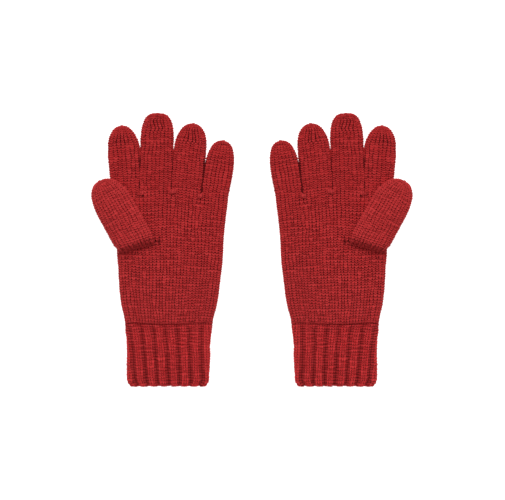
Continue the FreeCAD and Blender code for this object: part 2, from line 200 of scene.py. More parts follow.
# ---- grids of stitch corners ----------------------------------------------------------------
def hand_grid():
    """The hand: rows from inside the hem to the finger roots; columns over the palm and back."""
    columns = np.arange(2 * PALM_WALES)
    even = columns / PALM_WALES
    marks = [x for x, _ in ROOT_LINE]
    top_left, top_right = marks[0], marks[-1]
    share = [(x - top_left) / (top_right - top_left) for x in marks]
    folded = np.where(even <= 1, even, 2 - even)
    at_roots = np.interp(folded * 4, np.arange(5), share)
    at_roots = np.where(even <= 1, at_roots, 2 - at_roots)
    rows = []
    for course in range(HAND_COURSES + 1):
        s = course / HAND_COURSES
        s = s * (1 + TIGHTENING * (1 - s))
        hem_end = HEM_MIDDLE + HEM_BOW - HEM_TURN
        left_y = (1 - s) * hem_end + s * ROOT_LINE[0][1]
        right_y = (1 - s) * hem_end + s * ROOT_LINE[-1][1]
        left, right = smooth_curve(THUMB_SIDE, left_y), smooth_curve(LITTLE_SIDE, right_y)
        turn = even + (at_roots - even) * smoothstep(s)
        rise = PALM_RISE - 0.2 * (1 - smoothstep(course / 1.5))
        x, z = section(right - left, HAND_ROLL, rise, BACK_DROP, PALM_CROWN, turn)
        lateral = 2 * x / (right - left)
        x = x + (left + right) / 2
        hem = HEM_MIDDLE + HEM_BOW * lateral ** 2 - HEM_TURN * lateral ** 8
        root = smooth_curve(ROOT_LINE, top_left + (lateral + 1) / 2 * (top_right - top_left))
        y = (1 - s) * hem + s * root
        z = EDGE_LEVEL + z + np.where(z > 0, sway(x, y, 0.35), 0)
        rows.append(np.stack([x, y, z], 1))
    grid = np.array(rows)
    middle = grid[0].mean(0)
    turned = []
    for inward, back in HEM_FOLD:
        edge = grid[0].copy()
        from_middle = np.hypot(edge[:, 0] - middle[0], 3 * (edge[:, 2] - middle[2]))
        shrink = 1 - inward / np.maximum(from_middle, 9)
        edge[:, 0] = middle[0] + (edge[:, 0] - middle[0]) * shrink
        edge[:, 2] = middle[2] + (edge[:, 2] - middle[2]) * (1 - inward / 5.5)
        edge[:, 1] += back - 0.6
        turned.append(edge)
    return np.concatenate([turned, grid])


def tip_steps(straight, length):
    """Distances along a tube of its courses: even at first, closer where the end rounds off."""
    rounded = length - straight
    count = max(round(straight / FINGER_COURSE), 1)
    steps = np.linspace(0, straight, count, endpoint=False)
    q = np.linspace(0, 0.985, round(1.2 * rounded / FINGER_COURSE))
    return np.concatenate([steps, straight + rounded * (q + np.sin(q * math.pi / 2)) / 2])


def tip_width(along, straight, length, power=2.1):
    """Share of a tube's width that is left at a distance along it, where its end rounds off."""
    q = np.clip((along - straight) / (length - straight), 0, 1)
    return (1 - q ** power) ** (1 / power)


def finger_columns(index):
    """The hand's columns over a finger's palm side, and those over its back."""
    first = FINGER_WALES * index
    over = np.arange(first, first + FINGER_WALES + 1)
    return over, (2 * PALM_WALES - over[::-1]) % (2 * PALM_WALES)


def has_neighbours(index):
    """Whether a finger has another one on its thumb side, and on its other side."""
    return index > 0, index < len(FINGERS) - 1


def finger_loop(index, row):
    """A finger's loop of columns, read out of a row of the hand."""
    over, under = finger_columns(index)
    inner_left, inner_right = has_neighbours(index)
    top, bottom = row[over], row[under]
    parts = [top if inner_right else top[:-1]]
    if inner_right:
        parts.append(top[-1] + (bottom[0] - top[-1]) * np.array([[0.5]]))
    parts.append(bottom if inner_left else bottom[:-1])
    if inner_left:
        parts.append(bottom[-1] + (top[0] - bottom[-1]) * np.array([[0.5]]))
    return np.concatenate(parts)


def finger_turns(index, count):
    """Where a finger's columns lie round its tube, in the turns that section() takes."""
    inner_left, inner_right = has_neighbours(index)
    if inner_left and inner_right:
        start = 0.5 - FINGER_WALES / count
    elif inner_right:
        start = 0.0
    else:
        start = 1.0 - 2 * FINGER_WALES / count
    return start + 2 * np.arange(count) / count


def finger_grid(name, hand):
    """A finger: rows from below its root, taken from the hand, to its closed tip."""
    index = list(FINGERS).index(name)
    tip, wide, rounded, square = FINGERS[name]
    over, _ = finger_columns(index)
    base = finger_loop(index, hand[-1])
    turn = finger_turns(index, len(base))
    left, right = hand[-1][over[0], 0], hand[-1][over[-1], 0]
    root = np.array([(left + right) / 2, smooth_curve(ROOT_LINE, base[:, 0].mean())])
    root_half = (right - left) / 2
    reach = np.array(tip) - root
    length = np.linalg.norm(reach)
    lean = math.atan2(reach[0], reach[1])
    straight = length - rounded
    rows = [finger_loop(index, row) for row in hand[-4:]]
    for along in tip_steps(straight, length)[1:]:
        angle = lean * smoothstep(along / 20)
        across_way = np.array([math.cos(angle), -math.sin(angle)])
        along_way = np.array([math.sin(lean), math.cos(lean)])
        centre = root + along_way * along
        centre[0] += BEND[name] * math.sin(math.pi * min(along / (0.9 * length), 1))
        half = root_half + (wide - root_half) * smoothstep(along / (0.95 * straight))
        swell, onset, end = SWELL[name]
        half = half + swell * smoothstep((along - onset) / 12) * (1 - smoothstep((along - end) / 7))
        left_over = tip_width(along, straight, length, square)
        height = FINGER_RISE * left_over ** 0.75
        roll = 2.6 + 3.9 * smoothstep((along - 22) / 20)
        x, z = section(2 * half * left_over, roll, height, height * 0.86, 0.5 * left_over, turn)
        round_part = np.stack([
            centre[0] + x * across_way[0], centre[1] + x * across_way[1],
            FINGER_LEVEL - (FINGER_LEVEL - 2.6) * (1 - left_over) ** 1.5 + z], 1)
        side = base - [root[0], root[1], 0]
        fade = 1 - smoothstep(along / 22)
        wide_share = half / root_half
        flat_part = np.stack([
            centre[0] + side[:, 0] * wide_share * across_way[0] + side[:, 1] * fade * along_way[0],
            centre[1] + side[:, 0] * wide_share * across_way[1] + side[:, 1] * fade * along_way[1],
            side[:, 2]], 1)
        parted = smoothstep(along / GAP_DEPTH)
        rows.append(flat_part * (1 - parted) + round_part * parted)
    return np.array(rows)


def palm_level(x, y):
    """Height of the palm's surface, which rolls down at the thumb-side edge."""
    inside = np.clip((x - smooth_curve(THUMB_SIDE, y)) / HAND_ROLL, 0, 1)
    return EDGE_LEVEL + PALM_RISE * np.sqrt(1 - (1 - inside) ** 2) + PALM_CROWN


def thumb_grid():
    """The thumb: rows from its base seam on the palm to its closed tip, lying over the palm."""
    low, high = np.array(THUMB_ROOT[0]), np.array(THUMB_ROOT[1])
    root, seam = (low + high) / 2, high - low
    seam_half, seam_turn = np.linalg.norm(seam) / 2, math.atan2(seam[1], seam[0])
    count = 2 * THUMB_WALES + 2
    turn = 0.5 + 2 * (np.arange(count) - THUMB_WALES / 2) / count
    folded = np.where(turn % 2 <= 1, turn % 2, 2 - turn % 2)
    straight = THUMB_LENGTH - THUMB_ROUND
    along_way = np.array([-math.sin(THUMB_LEAN), math.cos(THUMB_LEAN)])
    steps = tip_steps(straight - THUMB_PLEAT, THUMB_LENGTH - THUMB_PLEAT) + THUMB_PLEAT
    rows = []
    first_steps = [-2 * COURSE, -COURSE, 0, 0.42 * THUMB_PLEAT]
    for along in np.concatenate([first_steps, steps]):
        turned = 1 - (1 - min(max(along, 0) / 34, 1)) ** 1.7
        angle = seam_turn + (THUMB_LEAN - seam_turn) * turned
        across_way = np.array([math.cos(angle), math.sin(angle)])
        left_over = tip_width(along, straight, THUMB_LENGTH)
        centre = root + along_way * along + across_way * 2.0 * (left_over - 1)
        half = seam_half - 0.3 * np.exp(-((along - 4) / 5) ** 2)
        half = half + (THUMB_HALF - half) * smoothstep(along / 22)
        risen = min(max(along, 0) / THUMB_RAMP, 1)
        rise = THUMB_RISE * math.sqrt(1 - (1 - risen) ** 2) * left_over ** 0.7
        x, z = section(2 * half * left_over, 6.5, rise, rise * 0.95, 0.5 * left_over, turn)
        shaped = smoothstep(along / 10)
        x = (2 * folded - 1) * half * (1 - shaped) + x * shaped
        place = np.stack([centre[0] + x * across_way[0], centre[1] + x * across_way[1]], 1)
        palm = palm_level(place[:, 0], place[:, 1])
        palm = palm * (1 - shaped) + (EDGE_LEVEL + PALM_RISE + PALM_CROWN) * shaped
        outside = np.clip(smooth_curve(THUMB_SIDE, place[:, 1]) - place[:, 0], 0, None)
        level = palm + 0.5 + rise - 0.2 * outside - 2.0 * (1 - left_over) ** 1.5
        level = level - 1.6 * smoothstep(-along / 2.0)
        rows.append(np.column_stack([place, level + z]))
    return np.array(rows)


def rib_height(wale):
    """How far a place round the cuff stands out: 1 on the plain wales, 0 between the purl ones."""
    from_middle = np.abs((np.asarray(wale) - 3.5 + RIB_WALES / 2) % RIB_WALES - RIB_WALES / 2)
    return 1 - smoothstep((from_middle - 1.2) / 0.9)


def cuff_row(y, inset, sink=0.0):
    """One course of the cuff at height y, moved inwards by inset."""
    wales = RIBS * RIB_WALES
    left, right = smooth_curve(CUFF_THUMB_SIDE, y), smooth_curve(CUFF_LITTLE_SIDE, y)
    corner = CUFF_CORNER - np.clip(y - CUFF_EDGE + 1.0, 0, CUFF_CORNER)
    tuck = CUFF_CORNER - math.sqrt(CUFF_CORNER ** 2 - corner ** 2)
    half = (right - left) / 2 - CUFF_TUCK * tuck - inset
    twist = np.interp(y, [0, 60], CUFF_TWIST)
    turn = 2 * np.arange(wales) / wales + twist
    rise, drop = PALM_RISE - 0.9 - inset - sink, BACK_DROP - 1.0 - inset - sink
    x, z = section(2 * half, HAND_ROLL, rise, drop, 0.3, turn)
    return np.stack([x + (left + right) / 2, np.full_like(x, y), EDGE_LEVEL - 0.2 + z], 1)


def cuff_grid():
    """The cuff: rows from inside it, round its edge, and up the outside to under the hem."""
    rows = [cuff_row(CUFF_EDGE + 1.8 + COURSE * i, 2.7) for i in range(CUFF_LINING, -1, -1)]
    rows.append(cuff_row(CUFF_EDGE + 0.35, 2.0))
    rows.append(cuff_row(CUFF_EDGE, 1.0))
    for course in range(CUFF_COURSES + 1):
        sink = 0.2 * smoothstep((course - 22) / 3)
        rows.append(cuff_row(CUFF_EDGE + 0.9 + COURSE * course, 0.0, sink))
    grid = np.array(rows)
    near_edge = np.exp(-(np.arange(len(grid)) - CUFF_LINING - 2.0) ** 2 / 6)
    scallop = rib_height(np.arange(grid.shape[1])) - 0.5
    grid[:, :, 1] -= 0.7 * near_edge[:, None] * scallop[None]
    return grid


# ---- stitches -------------------------------------------------------------------------------
def cubic_weights(t):
    """Weights of the four grid lines around a point at fraction t, and those weights' slopes."""
    weights = np.stack([
        -t + 2 * t**2 - t**3, 2 - 5 * t**2 + 3 * t**3, t + 4 * t**2 - 3 * t**3, t**3 - t**2])
    slopes = np.stack([
        -1 + 4 * t - 3 * t**2, -10 * t + 9 * t**2, 1 + 8 * t - 9 * t**2, 3 * t**2 - 2 * t])
    return weights / 2, slopes / 2


def read_surface(grid, rows, columns):
    """Places on a closed grid's smooth surface, its outward normals and its wales' width."""
    row = np.clip(np.floor(rows).astype(int), 1, grid.shape[0] - 3)
    column = np.floor(columns).astype(int)
    row_weights, row_slopes = cubic_weights(rows - row)
    column_weights, column_slopes = cubic_weights(columns - column)
    place, along, across = (np.zeros(rows.shape + (3,)) for _ in range(3))
    for i in range(4):
        for j in range(4):
            corner = grid[row + i - 1, (column + j - 1) % grid.shape[1]]
            place += (row_weights[i] * column_weights[j])[..., None] * corner
            along += (row_slopes[i] * column_weights[j])[..., None] * corner
            across += (row_weights[i] * column_slopes[j])[..., None] * corner
    normal = np.cross(across, along)
    normal /= np.maximum(np.linalg.norm(normal, axis=-1, keepdims=True), 1e-9)
    return place, normal, np.linalg.norm(across, axis=-1)


def new_mesh(name, places, faces, values, side):
    """A smooth mesh object in the frame from places in the glove's own millimetres."""
    mesh = bpy.data.meshes.new(name)
    if SIDES[side] < 0:
        faces = faces[:, ::-1]
    mesh.vertices.add(len(places))
    mesh.vertices.foreach_set("co", in_frame(side, places).astype(np.float32).ravel())
    mesh.loops.add(faces.size)
    mesh.polygons.add(len(faces))
    mesh.loops.foreach_set("vertex_index", faces.astype(np.int32).ravel())
    mesh.polygons.foreach_set("loop_start", np.arange(0, faces.size, faces.shape[1], dtype=np.int32))
    mesh.polygons.foreach_set("use_smooth", np.ones(len(faces), bool))
    for key, value in values.items():
        kind = "FLOAT" if value.ndim == 1 else "FLOAT_VECTOR"
        attribute = mesh.attributes.new(key, kind, "POINT")
        field = "value" if value.ndim == 1 else "vector"
        attribute.data.foreach_set(field, value.astype(np.float32).ravel())
    mesh.update(calc_edges=True)
    mesh.validate()
    piece = bpy.data.objects.new(name, mesh)
    bpy.context.scene.collection.objects.link(piece)
    return piece


def blurred(field, along, across):
    """A random field smoothed along and across the wales, and brought back to a spread of 1."""
    for _ in range(along):
        field = field + np.roll(field, 1, 0) + np.roll(field, -1, 0)
    for _ in range(across):
        field = field + np.roll(field, 1, 1) + np.roll(field, -1, 1)
    return field / field.std()


def between(field, rows, columns):
    """Values between the entries of a field that stand for whole rows and columns."""
    row = np.clip(np.floor(rows).astype(int), 0, field.shape[0] - 2)
    column = np.clip(np.floor(columns).astype(int), 0, field.shape[1] - 2)
    t, u = rows - row, columns - column
    low = field[row, column] * (1 - u) + field[row, column + 1] * u
    high = field[row + 1, column] * (1 - u) + field[row + 1, column + 1] * u
    return low * (1 - t) + high * t


def strip_faces(here, following):
    """Faces between each row of vertices and the next, given each vertex and its neighbour."""
    return np.stack([here[:-1], following[:-1], following[1:], here[1:]], -1).reshape(-1, 4)


def end_fan(ring, centre):
    """Faces that close a ring of vertices with one vertex in its middle."""
    first, second = ring.reshape(-1, 2).T
    return np.stack([first, second, np.roll(first, -1), np.full(len(first), centre)], 1)


def plain_height(bow):
    """Height of a plain stitch across its width: two legs with a valley between them."""
    inner = 1 - 0.55 * (1 - bow / 0.45) ** 2
    outer = np.sqrt(np.clip(1 - ((bow - 0.45) / 0.55) ** 2, 0, 1))
    return np.where(bow < 0.45, inner, outer)


def stitch_wander(random, courses, wales, inside, inner):
    """How far the stitches stray along their wales and across them, less near the borders."""
    fields = random.normal(size=(3, courses + 3, wales + 2))
    along = inner * 0.19 * between(blurred(fields[0], 0, 1), *inside)
    across = inner * 0.12 * between(blurred(fields[1], 2, 0), *inside)
    return along, across


def stitch_tones(random, courses, wales, speckle):
    """How light each stitch is: its own tone, its wale's and its course's."""
    tone = random.normal(0.0, speckle, (courses, wales)) + random.normal(0.0, 0.12, (1, wales))
    return tone + random.normal(0.0, 0.1, (courses, 1))


def stitch_gap_shades(random, courses, wales, gaps):
    """How open the knit is between courses and between wales, stitch by stitch, as the strength of the
    painted shade in its gaps.
    """
    streaks = blurred(random.normal(size=(courses, wales)), 3, 0)
    streaks = streaks - (np.roll(streaks, 1, 1) + np.roll(streaks, -1, 1)) / 2
    patches = blurred(random.normal(size=(courses, wales)), 8, 5)
    uneven = random.normal(0.0, 0.38, (2, courses, wales))
    course_gap_shade = np.clip(gaps[0] - 0.12 * patches + uneven[0], 0, 1.3)
    wale_gap_shade = np.clip(gaps[1] + 0.14 * streaks + 0.2 * patches + uneven[1], 0, 1.3)
    return course_gap_shade, wale_gap_shade


def unshaded_share(bow, fraction, is_purl, beside, course_gap_shade, wale_gap_shade):
    """What the painted shade in the holes at the stitches' corners leaves unshaded, with fainter
    painted shade in lines between them and in the middle of each plain stitch.
    """
    middle = 0.3 * (1 - smoothstep(bow / 0.4))[None] * ~is_purl[None]
    below = (1 - smoothstep(np.minimum(fraction, 1 - fraction) / 0.4))[:, None]
    wale_shade = beside * (FAINT_SHADE + (1 - FAINT_SHADE) * below) * wale_gap_shade
    course_shade = below * (FAINT_SHADE + (1 - FAINT_SHADE) * np.maximum(beside, middle)) * course_gap_shade
    return np.clip(1 - wale_shade, 0, 1) * np.clip(1 - course_shade, 0, 1)


def knit(name, side, grid, rows, columns, seed, gaps=(0.75, 0.64), speckle=0.55, shades=(0, 0),
         purl=None, ridge=None, drawn=None, closed_tip=False):
    """Knits a tube, or a strip of one, from a row and column of its grid to another.

    gaps: how open the knit is between courses and between wales, which sets the painted shade in
    its gaps. speckle: how much the stitches differ in tone. shades: how much darker the first and
    last rows are. purl tells purl wales from plain ones, ridge gives a height and a painted shade, and
    drawn gives painted shade where stitches gather, and leans them.
    """
    first_row, last_row = rows
    first, last = columns
    wales, courses = last - first, last_row - first_row
    closed = wales == grid.shape[1]
    random = np.random.default_rng(seed)

    # the vertices of the stitches, in wales across and courses along
    wale = np.repeat(np.arange(first, last), len(STITCH_ACROSS))
    part = np.tile(STITCH_ACROSS, wales)
    if not closed:
        wale, part = np.append(wale, last), np.append(part, 0.0)
    course = np.append(np.repeat(np.arange(first_row, last_row), len(STITCH_ALONG)), last_row)
    fraction = np.append(np.tile(STITCH_ALONG, courses), 0.0)
    row = course + fraction
    stitch = (np.minimum(course - first_row, courses - 1)[:, None],
              np.minimum(wale - first, wales - 1)[None])

    # a plain stitch is a V, and a purl stitch is a bow
    is_purl = np.zeros(len(wale), bool) if purl is None else purl(wale)
    bow = np.abs(2 * part - 1)
    shift = np.where(is_purl, V_SLOPE - 0.35 * (1 - bow ** 2), V_SLOPE * bow)
    if closed_tip:
        shift = shift[None] * np.clip((last_row - row) / 2, 0, 1)[:, None]
    else:
        shift = np.broadcast_to(shift[None], (len(row), len(wale)))
    row_at = row[:, None] + shift
    column_at = np.broadcast_to((wale + part)[None], row_at.shape)

    inner = np.clip(np.minimum(row - first_row, last_row - row) / 2, 0, 1)[:, None]
    if not closed:
        inner = inner * np.clip(np.minimum(wale + part - first, last - wale - part) / 2, 0, 1)[None]
    inside = (row[:, None] + 0 * column_at - first_row, column_at - first)
    wander_row, wander_column = stitch_wander(random, courses, wales, inside, inner)
    gather_shade = np.zeros(row_at.shape)
    if drawn is not None:
        gather_shade, lean = drawn(row[:, None], column_at)
        wander_column = wander_column + lean
    place, normal, pitch = read_surface(grid, row_at + wander_row, column_at + wander_column)

    lift = random.normal(1.0, 0.12, (courses, wales))[stitch]
    tone = stitch_tones(random, courses, wales, speckle)[stitch]
    tone = tone - np.interp(row, rows, shades)[:, None]
    course_gap_shade, wale_gap_shade = stitch_gap_shades(random, courses, wales, gaps)
    # painted shade in the holes and between the stitches, and where stitches are drawn together
    beside = (1 - smoothstep((1 - bow) / 0.45))[None]
    light = unshaded_share(bow, fraction, is_purl, beside, course_gap_shade[stitch], wale_gap_shade[stitch])
    drawn_in_shade = gather_shade * beside * random.uniform(0.5, 1, (courses, wales))[stitch]
    gap_shade = 1 - light * (1 - drawn_in_shade)

    # the yarn's height over the tube's surface
    across = np.where(is_purl, 1 - 0.5 * bow ** 2, plain_height(bow))
    along = np.sin(math.pi * fraction) ** 0.8
    crest = across[None] * along[:, None]
    relief = YARN_RELIEF * np.minimum(1, pitch / 2.1) * crest * lift
    relief = relief - 0.35 * gap_shade * (1 - crest) * inner
    # a ridge adds height and painted shade, in furrows, slits, pleats, between fingers and under the
    # hem
    if ridge is not None:
        height, furrow_shade = ridge(row[:, None] + 0 * column_at, column_at)
        relief = relief + height
        gap_shade = 1 - (1 - gap_shade) * (1 - furrow_shade)
    places = (place + normal * relief[..., None]).reshape(-1, 3)

    number = np.arange(row_at.size).reshape(row_at.shape)
    here = number if closed else number[:, :-1]
    following = np.roll(number, -1, 1) if closed else number[:, 1:]
    faces = strip_faces(here, following)
    strand = random.uniform(0, 40, (courses, wales))[stitch]
    yarn = np.stack([column_at * WALE, row_at * COURSE, strand + 0 * row_at], -1).reshape(-1, 3)
    values = {"gap_shade": gap_shade.ravel(), "tone": tone.ravel(), "yarn": yarn}
    if closed_tip:
        end = number[-1]
        places = np.vstack([places, places[end].mean(0)])
        faces = np.vstack([faces, end_fan(end, len(places) - 1)])
        values = {key: np.concatenate([value, value[:1] * 0]) for key, value in values.items()}
    return new_mesh(name, places, faces, values, side)


def yarn_tube(path, radius):
    """Rings of places round a path, its middle line, distances along it, and its plies' bulge."""
    length = np.concatenate([[0], np.cumsum(np.linalg.norm(np.diff(path, axis=0), axis=1))])
    at = np.linspace(0, length[-1], max(int(length[-1] / 0.4), 8))
    line = np.stack([np.interp(at, length, path[:, k]) for k in range(3)], 1)
    way = np.gradient(line, axis=0)
    way /= np.linalg.norm(way, axis=1, keepdims=True)
    sideways = np.cross(way, [0, 0, 1.0])
    sideways /= np.maximum(np.linalg.norm(sideways, axis=1, keepdims=True), 1e-6)
    upward = np.cross(sideways, way)
    from_end = np.minimum(at, at[-1] - at) / radius
    thick = radius * np.sqrt(1 - (1 - np.clip(from_end, 0.02, 1)) ** 2)
    angle = np.linspace(0, 2 * math.pi, YARN_SIDES, endpoint=False)
    ply = np.cos(2 * (angle[None] - 2 * math.pi * at[:, None] / PLY_TURN))
    reach = thick[:, None] * (1 + 0.17 * ply)
    ring = (line[:, None] + sideways[:, None] * (reach * np.cos(angle))[..., None]
            + upward[:, None] * (reach * np.sin(angle))[..., None])
    return ring, line, at, ply


def rope(name, side, paths, radius, seed, gap_shade=0.0):
    """Two-ply yarn laid along paths of places, with rounded ends, painted shade in the grooves between
    its plies and any given painted shade over it all.
    """
    random = np.random.default_rng(seed)
    all_places, all_faces, gaps, tones, yarns = [], [], [], [], []
    angle = np.linspace(0, 2 * math.pi, YARN_SIDES, endpoint=False)
    count = 0
    for path in paths:
        ring, line, at, ply = yarn_tube(np.array(path, float), radius)
        number = count + np.arange(len(ring) * YARN_SIDES).reshape(-1, YARN_SIDES)
        all_faces.append(strip_faces(number, np.roll(number, -1, 1)))
        all_faces.append(end_fan(number[0][::-1], number[-1, -1] + 1))
        all_faces.append(end_fan(number[-1], number[-1, -1] + 2))
        all_places.append(np.vstack([ring.reshape(-1, 3), line[:1], line[-1:]]))
        size = number.size + 2
        # painted shade in the grooves between the plies, on top of the given painted shade
        gaps.append(np.append(np.clip(gap_shade + 0.5 * (1 - ply) / 2, 0, 1).ravel(), [0.5, 0.5]))
        tones.append(np.full(size, random.normal(0, 0.3)))
        yarn = np.zeros((size, 3))
        yarn[:-2, 0] = (angle[None] * radius + 0 * at[:, None]).ravel()
        yarn[:-2, 1] = (at[:, None] + 0 * angle[None]).ravel()
        yarn[:, 2] = random.uniform(0, 40)
        yarns.append(yarn)
        count += size
    values = {"gap_shade": np.concatenate(gaps), "tone": np.concatenate(tones), "yarn": np.concatenate(yarns)}
    return new_mesh(name, np.concatenate(all_places), np.concatenate(all_faces), values, side)


# ---- materials ------------------------------------------------------------------------------
def srgb(red, green, blue):
    """A colour given as 8-bit screen values, as the linear colour that shaders take."""
    def linear(value):
        value = value / 255
        return value / 12.92 if value <= 0.04045 else ((value + 0.055) / 1.055) ** 2.4
    return (linear(red), linear(green), linear(blue), 1.0)


def wool(name, light, dark, deep):
    """Carded wool yarn: melange fibres along the yarn, with painted shade between the stitches in a
    deep colour.
    """
    material = bpy.data.materials.new(name)
    material.use_nodes = True
    nodes, links = material.node_tree.nodes, material.node_tree.links
    shader = nodes["Principled BSDF"]

    def attribute(key):
        node = nodes.new("ShaderNodeAttribute")
        node.attribute_name = key
        return node

    def mapped(source, low_in, high_in, low_out, high_out):
        """The source's values from low_in to high_in, as values from low_out to high_out."""
        node = nodes.new("ShaderNodeMapRange")
        for slot, value in zip((1, 2, 3, 4), (low_in, high_in, low_out, high_out)):
            node.inputs[slot].default_value = value
        links.new(source, node.inputs[0])
        return node.outputs[0]

    def mixed(factor, low, high):
        """A mix of two colours; sockets 6, 7 and output 2 are the node's colour ones."""
        node = nodes.new("ShaderNodeMix")
        node.data_type = "RGBA"
        links.new(factor, node.inputs[0])
        for slot, value in ((6, low), (7, high)):
            if isinstance(value, tuple):
                node.inputs[slot].default_value = value
            else:
                links.new(value, node.inputs[slot])
        return node.outputs[2]

    def noise(scale, detail, stretch):
        """Noise in the yarn's own coordinates: across it, along it, and its strand."""
        mapping = nodes.new("ShaderNodeMapping")
        mapping.inputs["Scale"].default_value = stretch
        links.new(attribute("yarn").outputs["Vector"], mapping.inputs["Vector"])
        node = nodes.new("ShaderNodeTexNoise")
        node.inputs["Scale"].default_value = scale
        node.inputs["Detail"].default_value = detail
        links.new(mapping.outputs[0], node.inputs["Vector"])
        return node.outputs["Fac"]

    fibres = noise(1.0, 4.0, (3.4, 1.3, 1.0))
    patches = noise(0.05, 2.0, (1.0, 1.0, 0.0))
    melange = mixed(mapped(fibres, 0.3, 0.7, 0.0, 1.0), dark, light)
    tinted = mixed(mapped(attribute("tone").outputs["Fac"], -2.4, 1.0, 0.85, 0.0), melange, dark)
    clouded = mixed(mapped(patches, 0.35, 0.65, 0.0, 0.06), tinted, dark)
    # painted shade: the deep colour, mixed in where the stitches' gaps, furrows, slits and pleats are
    # shaded
    shaded = mixed(mapped(attribute("gap_shade").outputs["Fac"], 0.1, 0.85, 0.0, 0.95), clouded, deep)
    links.new(shaded, shader.inputs["Base Color"])
    shader.inputs["Roughness"].default_value = 0.85
    shader.inputs["Specular IOR Level"].default_value = 0.1
    shader.inputs["Sheen Weight"].default_value = 0.12
    shader.inputs["Sheen Roughness"].default_value = 0.45
    shader.inputs["Sheen Tint"].default_value = srgb(226, 120, 116)
    bump = nodes.new("ShaderNodeBump")
    bump.inputs["Strength"].default_value = 0.6
    bump.inputs["Distance"].default_value = 0.0003
    links.new(fibres, bump.inputs["Height"])
    links.new(bump.outputs[0], shader.inputs["Normal"])
    return material


# each wool's last colour is the deep colour of its painted shade
palm_wool = wool("red_plain_knit", srgb(231, 72, 73), srgb(181, 41, 43), srgb(58, 2, 4))
rib_wool = wool("red_rib_knit", srgb(241, 75, 77), srgb(214, 51, 53), srgb(62, 2, 4))
thumb_wool = wool("red_thumb_knit", srgb(223, 70, 71), srgb(186, 47, 49), srgb(84, 6, 8))


# ---- the gloves -----------------------------------------------------------------------------
def beyond_roots(grid, fingers):
    """The hand's grid with two more rows, read from the fingers, so that its stitches join theirs."""
    extra = []
    for step in (1, 2):
        row = np.zeros((2 * PALM_WALES, 3))
        count = np.zeros((2 * PALM_WALES, 1))
        for index, finger in enumerate(fingers.values()):
            over, under = finger_columns(index)
            _, inner_right = has_neighbours(index)
            places = finger[3 + step]
            top = places[:FINGER_WALES + 1]
            start = FINGER_WALES + (2 if inner_right else 0)
            bottom = places[(start + np.arange(FINGER_WALES + 1)) % len(places)]
            for columns, values in ((over, top), (under, bottom)):
                row[columns] += values
                count[columns] += 1
        extra.append(row / count)
    return np.concatenate([grid, extra])


hand = hand_grid()
fingers = {name: finger_grid(name, hand) for name in FINGERS}
hand = beyond_roots(hand, fingers)
thumb = thumb_grid()
cuff = cuff_grid()


def on_line(points, count):
    """Evenly spaced places along straight runs between points."""
    points = np.array(points, float)
    length = np.concatenate([[0], np.cumsum(np.linalg.norm(np.diff(points, axis=0), axis=1))])
    at = np.linspace(0, length[-1], count)
    return np.stack([np.interp(at, length, points[:, k]) for k in range(points.shape[1])], 1)


def finish(piece, wool_kind, body, node=None):
    """Gives a piece its wool and the body it rides on, and hides the CAD node it replaces."""
    piece.data.materials.append(wool_kind)
    if node is not None:
        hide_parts(node)
    if body is not None:
        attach(piece, body)


def tip_gather(name, last_row):
    """Painted shade where stitches are drawn together below a finger's tip, on its palm side, and how
    far they lean.
    """
    low, high = GATHER_DEPTH[name]

    def drawn(rows, columns):
        from_tip = last_row - rows
        reach = smoothstep((from_tip - low) / 1.5) * (1 - smoothstep((from_tip - high + 1.5) / 1.5))
        near_middle = 1 - smoothstep((np.abs(columns - FINGER_WALES / 2) - 1.4) / 1.2)
        middle = (low + high) / 2
        return reach * near_middle, GATHER_LEAN[name] * (from_tip - middle) * reach * near_middle
    return drawn


def palm_marks(rows, columns):
    """Short slits beside the knot between index and middle, and pleats at the thumb's base, dipped in
    and darkened with painted shade.
    """
    near_roots = smoothstep((rows - HEM_ROWS - HAND_COURSES + 3.5) / 1.0)
    slits = sum(smoothstep(1.2 - np.abs(columns - FINGER_WALES - at) / 0.3) for at in (-0.6, 0.9))
    slits = 0.45 * near_roots * np.clip(slits, 0, 1)
    beside_thumb = smoothstep((rows - 32.6) / 0.8) * (1 - smoothstep((rows - 35.4) / 0.8))
    pleats = sum(smoothstep(1.3 - np.abs(columns - at) / 0.35) for at in (10.9, 11.8, 12.7))
    pleats = 0.6 * beside_thumb * np.clip(pleats, 0, 1)
    return -0.7 * (slits + pleats), np.maximum(slits, pleats)


def make_hand(side):
    """The hand, knitted as its palm and its back, and its hem."""
    top = HEM_ROWS + HAND_COURSES
    gaps = np.linspace(1.1, 0.78, top - 1)[:, None]      # how open the knit is, and so how much painted shade between the stitches, from the hem upwards
    sheets = {"palm": (0, palm_marks, f"{side}_hand"), "back": (PALM_WALES, None, None)}
    for seed, (sheet, (first, marks, node)) in enumerate(sheets.items(), start=11):
        piece = knit(f"{side}_{sheet}_knit", side, hand, (1, top), (first, first + PALM_WALES), seed,
                     gaps=(gaps, gaps), speckle=0.7, shades=(-0.8, 1.3), ridge=marks)
        finish(piece, palm_wool, f"{side}_glove", node)
    make_hem_link(side)


def make_hem_link(side):
    """The round of linking yarn, just inside the hem."""
    seam = hand[HEM_ROWS].copy()
    middle = seam.mean(0)
    seam[:, 0] = middle[0] + (seam[:, 0] - middle[0]) * 0.975
    seam[:, 1] += 0.2
    seam[:, 2] = EDGE_LEVEL + (seam[:, 2] - EDGE_LEVEL) * 0.72
    ring = np.vstack([seam, seam[:2]])
    # the linking yarn gets the painted shadow of the hem above it
    link = rope(f"{side}_hem_linking_yarn", side, [ring], 0.7, 13, gap_shade=0.55)
    finish(link, palm_wool, f"{side}_glove", f"{side}_cuff_link_seam")


